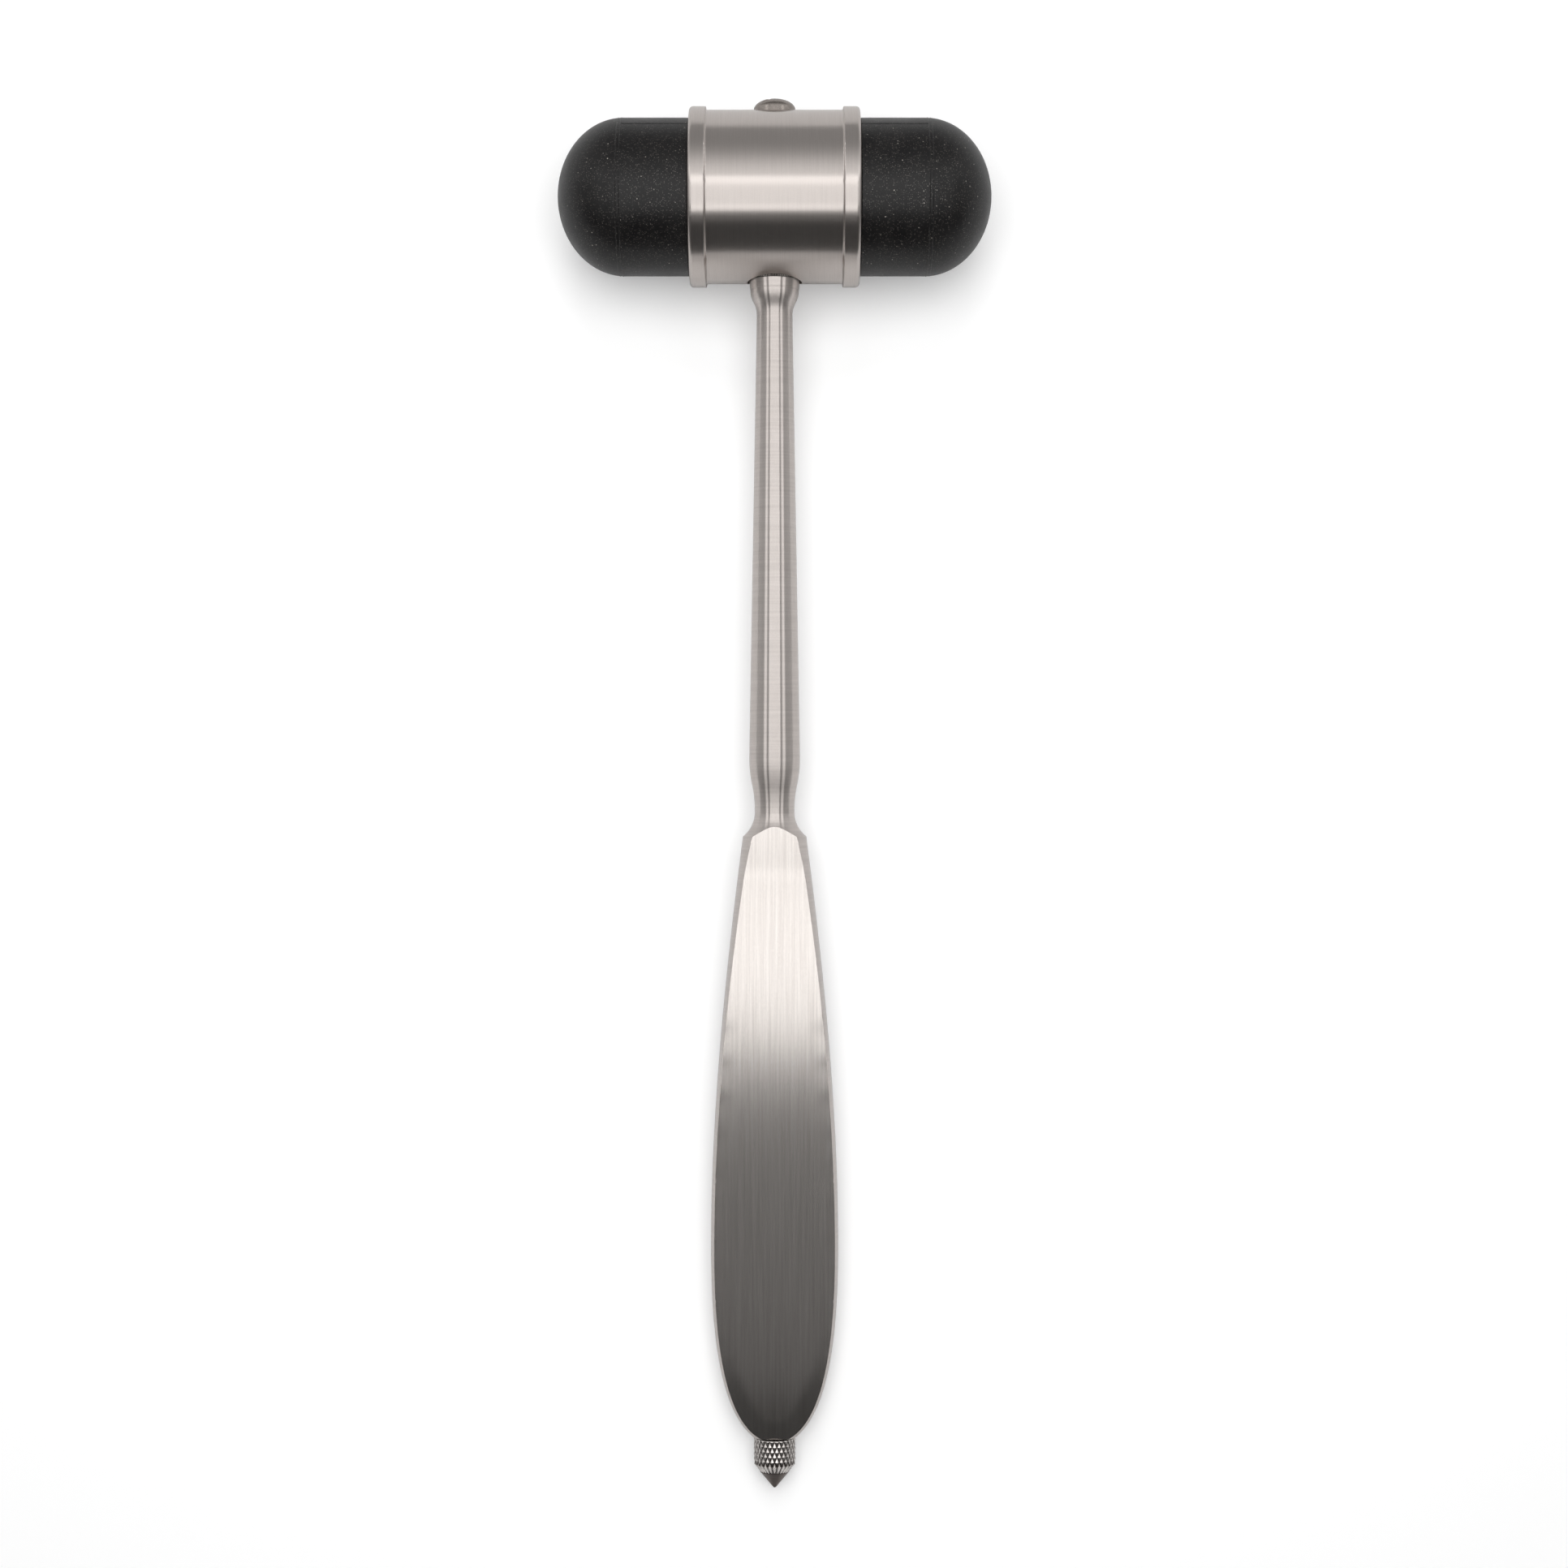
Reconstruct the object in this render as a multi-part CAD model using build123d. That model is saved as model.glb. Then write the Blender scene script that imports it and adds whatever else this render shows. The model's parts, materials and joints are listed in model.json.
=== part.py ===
from build123d import *
import os
from math import asin, atan2, cos, degrees, hypot, pi, radians, sin, sqrt, tan

os.makedirs("parts", exist_ok=True)

# Reflex hammer of the Dejerine pattern, all sizes in millimetres.
#
# The pieces are drawn in the tool's own frame: the head's axis is X, the handle's axis is Y with the
# handle running towards -Y, and the two cross at the origin. "Out" is the distance along the handle
# from the head's axis, so a station at out = 92 lies at Y = -92. The last step lays the whole tool on
# the surface it rests on, touching at both flanges of the head and at the corner of the needle's knob.

# ---- head: sleeve and bumpers ----
sleeve_length = 24.4
sleeve_outer_r = 12.3
sleeve_wall = 1.6
sleeve_mouth_chamfer = 0.3
flange_height = 0.5
flange_width = 2.4
flange_corner_r = 0.55
flange_foot_r = 0.2

bumper_lip = 0.5
bumper_reach = 19.0
dome_length = 9.6
plug_clearance = 0.05
plug_end_gap = 0.15

# ---- what holds the head on the handle ----
spigot_r = 2.5
spigot_end_inset = 0.3
spigot_end_chamfer = 0.3
spigot_hole_clearance = 0.1
washer_width = 1.3
washer_thickness = 0.45
washer_teeth = 30
washer_tooth_depth = 0.15
washer_pocket_clearance = 0.15
washer_pocket_depth = 0.8
spacer_wall = 1.05
spacer_bore_clearance = 0.05
spacer_end_clearance = 0.05
bumper_groove_clearance = 0.2

screw_head_overlap = 0.4
screw_head_clearance = 0.15
screw_seat_depth = 0.6
screw_rim_height = 0.9
screw_dome_height = 1.5
screw_slot_width = 0.9
screw_slot_depth = 0.9
screw_slot_turn = 28.0
screw_shank_r = 1.75
screw_shank_length = 6.8
screw_hole_clearance = 0.05
screw_hole_spare = 1.0

# ---- handle: collar, shaft, neck and grip, turned from one bar ----
collar_inset = 0.16
band_inset = 0.11
band_length = 1.35
flare_length = 3.7
shaft_start_r = 2.57
shaft_length = 63.6
shaft_end_r = 3.65
neck_length = 7.9
neck_r = 2.85
neck_flare_length = 3.5
grip_start_r = 4.57
grip_start_slope = 0.13
grip_start_pull = 22.0
grip_upper_length = 59.1
grip_r = 9.15
grip_widest_pull_up = 18.0
grip_widest_pull_down = 14.0
grip_lower_length = 27.3
grip_end_r = 3.05
grip_end_slope = 1.27
grip_end_pull = 3.5
flat_height = 2.95
flat_start_inset = 6.0
flat_runout_r = 60.0
flat_runout_length = 8.5

# ---- needle stored in the handle ----
knob_r = 3.0
knob_seat_gap = 0.1
knob_length = 3.8
knob_corner_rounding = 1.0
knob_cone_half_angle = 39.7
knob_tip_r = 0.12
stud_r = 1.95
stud_length = 6.5
thread_pitch = 0.7
thread_depth = 0.3
stud_bore_clearance = 0.05
stud_bore_spare = 0.6
pin_r = 0.6
pin_reach = 30.0
pin_hold_depth = 5.0
pin_hold_clearance = 0.03
pin_point_length = 3.0
pin_point_r = 0.08
pin_bore_clearance = 0.5
pin_bore_spare = 2.5

# ---- radii and stations that follow from them ----
sleeve_end_x = sleeve_length / 2
sleeve_bore_r = sleeve_outer_r - sleeve_wall
flange_r = sleeve_outer_r + flange_height
bumper_r = sleeve_bore_r + bumper_lip
spigot_hole_r = spigot_r + spigot_hole_clearance
spacer_r = spigot_r + spacer_bore_clearance + spacer_wall
washer_r = spigot_r + washer_width
collar_r = washer_r - collar_inset
band_r = collar_r - band_inset
screw_head_r = spigot_hole_r + screw_head_overlap
pocket_floor_out = sleeve_outer_r - washer_pocket_depth
collar_seat_out = pocket_floor_out + washer_thickness
screw_seat_height = sleeve_outer_r - screw_seat_depth
spigot_end_height = screw_seat_height - spigot_end_inset

band_end_out = collar_seat_out + band_length
shaft_start_out = band_end_out + flare_length
shaft_end_out = shaft_start_out + shaft_length
neck_out = shaft_end_out + neck_length
grip_start_out = neck_out + neck_flare_length
grip_widest_out = grip_start_out + grip_upper_length
grip_end_out = grip_widest_out + grip_lower_length
flat_start_out = grip_start_out + flat_start_inset

stud_face_out = grip_end_out + knob_seat_gap
knob_corner_out = stud_face_out + knob_length
stud_end_out = stud_face_out - stud_length
pin_point_out = stud_end_out - pin_reach
pin_bore_r = pin_r + pin_bore_clearance


def rod(radius, start_out, end_out):
    """Cylinder on the handle's axis between two stations."""
    middle = (start_out + end_out) / 2
    return Pos(0, -middle, 0) * Rot(90, 0, 0) * Cylinder(radius, end_out - start_out)


def turned_on_handle_axis(outline):
    """Solid turned about Y from an outline of (radius, Y) lines."""
    return revolve(make_face(outline), Axis.Y)


def turned_on_head_axis(outline):
    """Solid turned about X from an outline of (X, radius) lines."""
    return revolve(make_face(outline), Axis.X)


def easing(start, end):
    """Curve between two (radius, Y) points that leaves and arrives along the axis."""
    half_way = (start[1] + end[1]) / 2
    return Bezier(start, (start[0], half_way), (end[0], half_way), end)


def head_sleeve():
    """Brushed tube with a rounded flange at each end, cross-drilled for the handle's spigot."""
    flange_x = sleeve_end_x - flange_width
    mouth_r = sleeve_bore_r + sleeve_mouth_chamfer
    mouth_x = sleeve_end_x - sleeve_mouth_chamfer
    outline = Polyline(
        (-mouth_x, sleeve_bore_r),
        (-sleeve_end_x, mouth_r),
        (-sleeve_end_x, flange_r),
        (-flange_x, flange_r),
        (-flange_x, sleeve_outer_r),
        (flange_x, sleeve_outer_r),
        (flange_x, flange_r),
        (sleeve_end_x, flange_r),
        (sleeve_end_x, mouth_r),
        (mouth_x, sleeve_bore_r),
        close=True,
    )
    sleeve = turned_on_head_axis(outline)
    step = flange_r - sleeve_outer_r
    circles = sleeve.edges().filter_by(GeomType.CIRCLE)
    rims = [e for e in circles if abs(e.radius - flange_r) < 0.01 and abs(e.center().X) > flange_x + 0.01]
    sleeve = fillet(rims, min(flange_corner_r, 0.45 * flange_width))
    circles = sleeve.edges().filter_by(GeomType.CIRCLE)
    steps = [e for e in circles if abs(abs(e.center().X) - flange_x) < 0.01]
    sleeve = fillet(steps, min(flange_foot_r, 0.45 * step))

    pocket = rod(washer_r + washer_pocket_clearance, pocket_floor_out, flange_r + 1)
    screw_seat = rod(screw_head_r + screw_head_clearance, -flange_r - 1, -screw_seat_height)
    spigot_hole = rod(spigot_hole_r, -flange_r - 1, flange_r + 1)
    return sleeve - pocket - screw_seat - spigot_hole


def bumper(side):
    """Moulded rubber bumper, its plug inside the sleeve; side is -1 for left and 1 for right."""
    plug_r = sleeve_bore_r - plug_clearance
    dome_start_x = sleeve_end_x + bumper_reach - dome_length
    outline = Polyline(
        (dome_start_x, bumper_r),
        (sleeve_end_x, bumper_r),
        (sleeve_end_x, plug_r),
        (plug_end_gap, plug_r),
        (plug_end_gap, 0),
        (dome_start_x + dome_length, 0),
    )
    dome = EllipticalCenterArc((dome_start_x, 0), dome_length, bumper_r, 0, arc_size=90)
    body = turned_on_head_axis(outline + dome)
    groove = rod(spacer_r + bumper_groove_clearance, -sleeve_bore_r - 1, sleeve_bore_r + 1)
    body = body - groove
    if side < 0:
        body = mirror(body, Plane.YZ)
    return body


def core_spacer():
    """Tube round the spigot that keeps the screw from crushing the sleeve and locates the plugs."""
    end = sqrt(sleeve_bore_r**2 - spacer_r**2) - spacer_end_clearance
    return rod(spacer_r, -end, end) - rod(spigot_r + spacer_bore_clearance, -end - 1, end + 1)


def lock_washer():
    """Thin washer with a serrated rim, between the handle's collar and the sleeve."""
    step = 2 * pi / washer_teeth
    rim = []
    for tooth in range(washer_teeth):
        rim.append((washer_r * cos(tooth * step), washer_r * sin(tooth * step)))
        root = washer_r - washer_tooth_depth
        rim.append((root * cos((tooth + 0.5) * step), root * sin((tooth + 0.5) * step)))
    disc = make_face(Polyline(*rim, close=True)) - Circle(spigot_hole_r)
    blank = extrude(disc, washer_thickness)
    return Pos(0, -pocket_floor_out, 0) * Rot(90, 0, 0) * blank


def head_screw():
    """Slotted round-head screw that closes the head from the far side."""
    dome_base = screw_seat_height + screw_rim_height
    shank_end = spigot_end_height - screw_shank_length
    outline = Polyline(
        (0, dome_base + screw_dome_height),
        (0, shank_end),
        (screw_shank_r, shank_end),
        (screw_shank_r, screw_seat_height),
        (screw_head_r, screw_seat_height),
        (screw_head_r, dome_base),
    )
    dome = EllipticalCenterArc((0, dome_base), screw_head_r, screw_dome_height, 0, arc_size=90)
    screw = turned_on_handle_axis(outline + dome)
    slot_floor = dome_base + screw_dome_height - screw_slot_depth
    slot = Box(4 * screw_head_r, 2 * screw_slot_depth, screw_slot_width)
    return screw - Rot(0, screw_slot_turn, 0) * Pos(0, slot_floor + screw_slot_depth, 0) * slot


def turned_handle():
    """The handle as it leaves the lathe, before its two flats are ground."""
    spigot = Polyline(
        (0, -grip_end_out),
        (0, spigot_end_height),
        (spigot_r - spigot_end_chamfer, spigot_end_height),
        (spigot_r, spigot_end_height - spigot_end_chamfer),
        (spigot_r, -collar_seat_out),
        (collar_r, -collar_seat_out),
        (band_r, -band_end_out),
    )
    flare = easing((band_r, -band_end_out), (shaft_start_r, -shaft_start_out))
    shaft = Line((shaft_start_r, -shaft_start_out), (shaft_end_r, -shaft_end_out))
    neck_run = easing((shaft_end_r, -shaft_end_out), (neck_r, -neck_out))
    neck_arc = TangentArc((neck_r, -neck_out), (grip_start_r, -grip_start_out), tangent=(0, -1))
    grip_upper = Bezier(
        (grip_start_r, -grip_start_out),
        (grip_start_r + grip_start_slope * grip_start_pull, -grip_start_out - grip_start_pull),
        (grip_r, -grip_widest_out + grip_widest_pull_up),
        (grip_r, -grip_widest_out),
    )
    grip_lower = Bezier(
        (grip_r, -grip_widest_out),
        (grip_r, -grip_widest_out - grip_widest_pull_down),
        (grip_end_r + grip_end_slope * grip_end_pull, -grip_end_out + grip_end_pull),
        (grip_end_r, -grip_end_out),
    )
    end_face = Line((grip_end_r, -grip_end_out), (0, -grip_end_out))
    outline = spigot + flare + shaft + neck_run + neck_arc + grip_upper + grip_lower + end_face
    return turned_on_handle_axis(outline)


def flat_cutter():
    """What the grinding belt takes off above the upper flat, with its run-out at the neck."""
    past_end = grip_end_out + 1
    above = grip_r + 1
    runout_rise = flat_runout_r - sqrt(flat_runout_r**2 - flat_runout_length**2)
    runout_out = flat_start_out - flat_runout_length
    runout = TangentArc(
        (-flat_start_out, flat_height),
        (-runout_out, flat_height + runout_rise),
        tangent=(1, 0),
    )
    rest = Polyline(
        (-runout_out, flat_height + runout_rise),
        (-runout_out, above),
        (-past_end, above),
        (-past_end, flat_height),
        (-flat_start_out, flat_height),
    )
    return extrude(Plane.YZ * make_face(runout + rest), grip_r + 1, both=True)


def handle():
    """One bar: spigot, collar, tapered shaft, neck and flattened grip, bored for the needle."""
    bar = turned_handle()
    cutter = flat_cutter()
    bar = bar - cutter - mirror(cutter, Plane.XY)

    screw_hole_end = spigot_end_height - screw_shank_length - screw_hole_spare
    screw_hole = rod(screw_shank_r + screw_hole_clearance, -spigot_end_height - 1, -screw_hole_end)
    stud_bore = rod(stud_r + stud_bore_clearance, stud_end_out - stud_bore_spare, grip_end_out + 1)
    pin_bore = rod(pin_bore_r, pin_point_out - pin_bore_spare, grip_end_out)
    return bar - screw_hole - stud_bore - pin_bore


def needle_knob():
    """Knob that closes the handle: grip cylinder, pointed end and threaded stud."""
    slope = tan(radians(knob_cone_half_angle))
    tip_out = knob_corner_out + (knob_r - knob_tip_r) / slope
    crest_r = stud_r
    root_r = stud_r - thread_depth
    outline = [(0, -tip_out), (knob_tip_r, -tip_out), (knob_r, -knob_corner_out)]
    outline += [(knob_r, -stud_face_out), (root_r, -stud_face_out)]
    grooves = int(stud_length / thread_pitch)
    for groove in range(grooves):
        root_out = stud_face_out - groove * thread_pitch - thread_pitch / 4
        outline.append((root_r, -root_out))
        outline.append((crest_r, -(root_out - thread_pitch / 4)))
        outline.append((crest_r, -(root_out - thread_pitch / 2)))
    outline += [(root_r, -stud_end_out), (0, -stud_end_out)]
    knob = turned_on_handle_axis(Polyline(*outline, close=True))
    corner = [e for e in knob.edges().filter_by(GeomType.CIRCLE)
              if abs(e.radius - knob_r) < 0.01 and abs(e.center().Y + knob_corner_out) < 0.01]
    knob = fillet(corner, knob_corner_rounding)
    return knob - rod(pin_r + pin_hold_clearance, stud_end_out - 1, stud_end_out + pin_hold_depth)


def needle_pin():
    """Plain steel pin with a ground point, held in the stud and stored in the handle's bore."""
    outline = Polyline(
        (0, -stud_end_out - pin_hold_depth + pin_hold_clearance),
        (pin_r, -stud_end_out - pin_hold_depth + pin_hold_clearance),
        (pin_r, -pin_point_out - pin_point_length),
        (pin_point_r, -pin_point_out),
        (0, -pin_point_out),
        close=True,
    )
    return turned_on_handle_axis(outline)


pieces = {
    "head_sleeve": head_sleeve(),
    "bumper_left": bumper(-1),
    "bumper_right": bumper(1),
    "core_spacer": core_spacer(),
    "lock_washer": lock_washer(),
    "head_screw": head_screw(),
    "handle": handle(),
    "needle_knob": needle_knob(),
    "needle_pin": needle_pin(),
}

# The tool lies on a flat surface: the flanges touch it under the head, and the rounded corner of the
# knob touches it at the other end, which leans the handle's axis down by a few degrees.
corner_centre_out = knob_corner_out - knob_corner_rounding * tan(radians(knob_cone_half_angle) / 2)
corner_centre_r = knob_r - knob_corner_rounding
lean = (asin((flange_r - knob_corner_rounding) / hypot(corner_centre_out, corner_centre_r))
        - atan2(corner_centre_r, corner_centre_out))
leaned = {}
for name, piece in pieces.items():
    leaned[name] = Pos(0, 0, flange_r) * Rot(degrees(lean), 0, 0) * piece

# The origin is on that surface, under the middle of the whole tool.
far_y = max(piece.bounding_box().max.Y for piece in leaned.values())
near_y = min(piece.bounding_box().min.Y for piece in leaned.values())
for name, piece in leaned.items():
    export_step(Pos(0, -(far_y + near_y) / 2, 0) * piece, f"parts/{name}.step")
print(f"lean {degrees(lean):.4f} degrees, head axis at Y {-(far_y + near_y) / 2:.4f}, Z {flange_r}")
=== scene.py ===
import bmesh
import bpy
import json
import math
from mathutils import Matrix, Vector
from mathutils.geometry import interpolate_bezier


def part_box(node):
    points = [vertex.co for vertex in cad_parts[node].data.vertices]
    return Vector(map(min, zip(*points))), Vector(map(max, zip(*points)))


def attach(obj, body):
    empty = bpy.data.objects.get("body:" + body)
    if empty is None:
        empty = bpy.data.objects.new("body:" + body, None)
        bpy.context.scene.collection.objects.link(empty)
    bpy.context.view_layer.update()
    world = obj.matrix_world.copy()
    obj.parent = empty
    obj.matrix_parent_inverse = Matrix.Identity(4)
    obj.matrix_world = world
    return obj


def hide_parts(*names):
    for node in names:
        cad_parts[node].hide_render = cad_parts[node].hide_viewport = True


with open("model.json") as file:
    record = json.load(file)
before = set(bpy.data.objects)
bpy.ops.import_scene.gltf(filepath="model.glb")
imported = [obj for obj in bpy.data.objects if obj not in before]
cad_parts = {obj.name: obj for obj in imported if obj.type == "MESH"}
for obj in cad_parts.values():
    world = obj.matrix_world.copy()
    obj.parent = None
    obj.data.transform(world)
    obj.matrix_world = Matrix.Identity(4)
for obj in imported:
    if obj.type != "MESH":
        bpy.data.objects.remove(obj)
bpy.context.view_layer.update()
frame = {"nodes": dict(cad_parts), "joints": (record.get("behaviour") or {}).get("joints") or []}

MM = 0.001

# ---- the tool's own frame: X along the head, Y from the grip towards the head, Z up from the grip's flat.
# "Out" is the distance in millimetres along the handle from the head's axis, towards the needle's knob.
x_axis = Vector((1, 0, 0))
out_axis = Vector(frame["joints"][0]["axis"])
lean = math.atan2(-out_axis.z, -out_axis.y)
sleeve_low, sleeve_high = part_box("head_sleeve")
head_centre = (sleeve_low + sleeve_high) / 2
tool_place = Matrix.Translation(head_centre) @ Matrix.Rotation(lean, 4, "X")

# ---- sizes of the pieces that are modelled here, in millimetres, as the CAD has them
sleeve_end_x = 12.2
bumper_r = 11.2
plug_r = 10.65
plug_end_x = 0.15
bumper_end_x = 31.2
dome_start_x = 21.6
dome_steps = 26
plug_chamfer = 0.3
bumper_edge = 0.15
bumper_seat_gap = 0.02
core_groove_r = 3.8
# the hairs of rubber that the mould leaves: two rings where its ends met, and a line along each side
flash_ring_x = (21.86, 22.34)
flash_half_width = 0.07
flash_height = 0.05
seam_angle = 35
seam_half_width = 0.07
bumper_sides = 144
bumper_crease = 12

knob_face_out = 178.5
knob_r = 3.0
knob_corner_out = 182.3
knob_cone_slope = math.tan(math.radians(39.7))
knob_corner_rounding = 1.0
knob_face_edge = 0.12
point_outs = (184.4, 185.4)
knob_tip_out = 185.77
knob_tip_edge = 0.1
knob_crease = 14
knurl_teeth = 26
knurl_row_outs = (178.66, 179.38, 180.1, 180.82, 181.54, 182.26, 183.28)
knurl_first_out, knurl_last_out = knurl_row_outs[0], knurl_row_outs[-1]
knurl_depth = 0.18
knurl_end_edge = 0.12
stud_root_r = 1.65
stud_r = 1.95
stud_end_out = 172.0
stud_chamfer = 0.2
pin_hold_r = 0.63
pin_hold_out = 177.0
thread_pitch = 0.7
thread_turns = 8
thread_start = 0.6
thread_ridge_r = 0.346

spigot_end_out = -11.4
spigot_r = 2.5
spigot_chamfer = 0.3
collar_out = 11.95
collar_r = 3.64
collar_edge = 0.05
band_end_out = 13.3
band_r = 3.53
# the flare below the band starts this much smaller, after a step of the same length
band_step = 0.03
shaft_start_out = 17.0
shaft_start_r = 2.57
shaft_end_out = 80.6
shaft_end_r = 3.65
neck_out = 88.5
neck_r = 2.85
grip_start_out = 92.0
grip_start_r = 4.57
grip_widest_out = 151.1
grip_r = 9.15
grip_end_out = 178.4
grip_end_r = 3.05
flat_height = 2.95
flat_start_out = 98.0
# towards the neck the belt lifts off the flat on a ramp with this rise, which it enters over the ease
flat_runout_rise = 0.066
flat_runout_ease = 1.0
flat_runout_length = 8.5
# where the run-out's edge turns into the flat's long sides
flat_corner_out = 92.6
stud_bore_r = 2.0
stud_bore_out = 171.4
pin_bore_r = 1.1
pin_bore_out = 139.5
handle_sides = 128
handle_crease = 22
belt_width, belt_columns, belt_rows = 20, 25, 108
belt_overrun = 3
# the broken edge round a flat, and the reach within which the cut's points are merged before it is broken
edge_break = 0.05
merge_reach = 0.1
# towards the knob the flat dips by the roll's drop, and its rim by the crown's as well
end_roll_start_out = 158.0
end_roll_drop = 0.5
crown_width = 2.0
crown_drop = 0.2
crown_starts_out = range(120, 170, 5)

washer_floor_out = 11.5
washer_thickness = 0.45
washer_r = 3.8
washer_hole_r = 2.6
washer_edge = 0.06
washer_teeth = 92
washer_tooth_depth = 0.1
washer_crease = 20

screw_shank_out = -4.6
screw_seat_out = -11.7
screw_shank_r = 1.75
screw_shank_chamfer = 0.2
screw_hole_r = 1.8
screw_hole_out = -3.6
screw_head_r = 3.0
screw_head_edge = 0.05
screw_dome_out = -12.6
screw_dome_steps = 14
screw_end_out = -14.1
screw_slot_width = 0.9
screw_slot_floor_out = -13.2
screw_slot_turn = math.radians(58)
screw_broken_edge = 0.07
screw_sharp_angle = math.radians(35)
screw_crease = 25

# a turned end that reaches the axis is drawn to this radius and then closed to a point
pole_r = 0.02

# ---- the studio: where the camera looks and stands, and the share of light that the card adds
camera_aim_out = 84.46
camera_distance = 410
camera_to_right = 1.35
camera_lens = 65.37
floor_lift = 0.22


# ---------------------------------------------------------------- working by hand

def linear(hex_code):
    """An sRGB hex colour as the linear colour that the shaders take."""
    channels = [int(hex_code[i:i + 2], 16) / 255 for i in (0, 2, 4)]
    return [c / 12.92 if c <= 0.04045 else ((c + 0.055) / 1.055) ** 2.4 for c in channels] + [1.0]


def pick_nothing():
    """Leaves edit mode and deselects everything."""
    if bpy.context.object and bpy.context.object.mode != "OBJECT":
        bpy.ops.object.mode_set(mode="OBJECT")
    bpy.ops.object.select_all(action="DESELECT")


def work_on(piece):
    """Makes the piece the only one selected, and opens it in edit mode."""
    pick_nothing()
    piece.select_set(True)
    bpy.context.view_layer.objects.active = piece
    bpy.ops.object.mode_set(mode="EDIT")
    bpy.ops.mesh.select_mode(type="VERT")


def pick(piece, kind, wanted):
    """Selects the piece's vertices, edges or faces for which wanted() says yes."""
    bpy.ops.mesh.select_mode(type=kind)
    bpy.ops.mesh.select_all(action="DESELECT")
    mesh = bmesh.from_edit_mesh(piece.data)
    elements = {"VERT": mesh.verts, "EDGE": mesh.edges, "FACE": mesh.faces}[kind]
    for element in [e for e in elements if wanted(e)]:
        element.select_set(True)
    bmesh.update_edit_mesh(piece.data)


def ring_at(piece, station, reach=0.004):
    """Selects the ring of edges at that station out along the handle."""
    pick(piece, "EDGE", lambda e: all(abs(v.co.y + station * MM) < reach * MM for v in e.verts))


def turned(name, stations, sides):
    """A piece turned on the handle's axis: one ring is drawn out and resized from station to station."""
    pick_nothing()
    at, radius = stations[0]
    bpy.ops.mesh.primitive_circle_add(
        vertices=sides, radius=radius * MM, location=(0, -at * MM, 0), rotation=(math.pi / 2, 0, 0))
    piece = bpy.context.object
    piece.name = name
    bpy.ops.object.transform_apply(location=True, rotation=True, scale=True)
    work_on(piece)
    bpy.ops.mesh.select_all(action="SELECT")
    for next_at, next_radius in stations[1:]:
        bpy.ops.mesh.extrude_region_move(TRANSFORM_OT_translate={"value": (0, (at - next_at) * MM, 0)})
        grow = next_radius / radius
        bpy.ops.transform.resize(value=(grow, grow, grow), center_override=(0, -next_at * MM, 0))
        at, radius = next_at, next_radius
    if stations[0] == stations[-1]:
        bpy.ops.mesh.select_all(action="SELECT")
        bpy.ops.mesh.remove_doubles(threshold=0.001 * MM)
    for end_at, end_radius in (stations[0], stations[-1]):
        if end_radius == pole_r:
            pick(piece, "VERT", lambda v: math.hypot(v.co.x, v.co.z) < 2 * pole_r * MM
                 and abs(v.co.y + end_at * MM) < pole_r * MM)
            bpy.ops.mesh.merge(type="CENTER")
    bpy.ops.mesh.select_all(action="SELECT")
    bpy.ops.mesh.normals_make_consistent(inside=False)
    bpy.ops.object.mode_set(mode="OBJECT")
    return piece


def cut_away(piece, tool):
    """Takes the tool's shape out of the piece; the cut faces carry the tool's material."""
    pick_nothing()
    piece.select_set(True)
    bpy.context.view_layer.objects.active = piece
    cut = piece.modifiers.new("cut", "BOOLEAN")
    cut.operation = "DIFFERENCE"
    cut.solver = "EXACT"
    cut.material_mode = "TRANSFER"
    cut.object = tool
    bpy.ops.object.modifier_apply(modifier="cut")
    bpy.data.objects.remove(tool)


def smooth(piece, degrees):
    """Shades the piece smooth apart from edges sharper than that."""
    pick_nothing()
    piece.select_set(True)
    bpy.context.view_layer.objects.active = piece
    bpy.ops.object.shade_smooth_by_angle(angle=math.radians(degrees))


def lay_in_place(piece, turn=Matrix.Identity(4)):
    """Moves a piece made in the tool's own frame to where it lies, with the place kept in its mesh."""
    pick_nothing()
    piece.select_set(True)
    bpy.context.view_layer.objects.active = piece
    piece.matrix_world = tool_place @ turn @ piece.matrix_world
    bpy.ops.object.transform_apply(location=True, rotation=True, scale=True)


def stand_for(piece, body, node):
    """The piece rides on the body in the place of the CAD node."""
    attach(piece, body)
    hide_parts(node)


# ---------------------------------------------------------------- material tools

# nearly all of a noise lies between these two values
noise_low, noise_high = 0.3, 0.7


def plug_in(tree, node, inputs):
    """Gives each socket its value, or joins it to another node's output. Sockets go by name, or by number
    where a node has several of one name: 0, 6 and 7 are a colour mix's share and its two colours."""
    for name, value in inputs.items():
        if isinstance(value, bpy.types.NodeSocket):
            tree.links.new(value, node.inputs[name])
        else:
            node.inputs[name].default_value = value


def add(tree, kind, settings, inputs):
    """Adds a node with its settings and its inputs."""
    node = tree.nodes.new("ShaderNode" + kind)
    for name, value in settings.items():
        setattr(node, name, value)
    plug_in(tree, node, inputs)
    return node


def new_material(name):
    """A material with its node tree and its main shader."""
    material = bpy.data.materials.new(name)
    material.use_nodes = True
    tree = material.node_tree
    return material, tree, tree.nodes["Principled BSDF"]


def in_tool_frame(tree):
    """Object coordinates turned into the tool's own frame."""
    coordinates = add(tree, "TexCoord", {}, {})
    return add(tree, "Mapping", {"vector_type": "TEXTURE"}, {
        "Vector": coordinates.outputs["Object"],
        "Location": head_centre,
        "Rotation": (lean, 0, 0),
    }).outputs[0]


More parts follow.
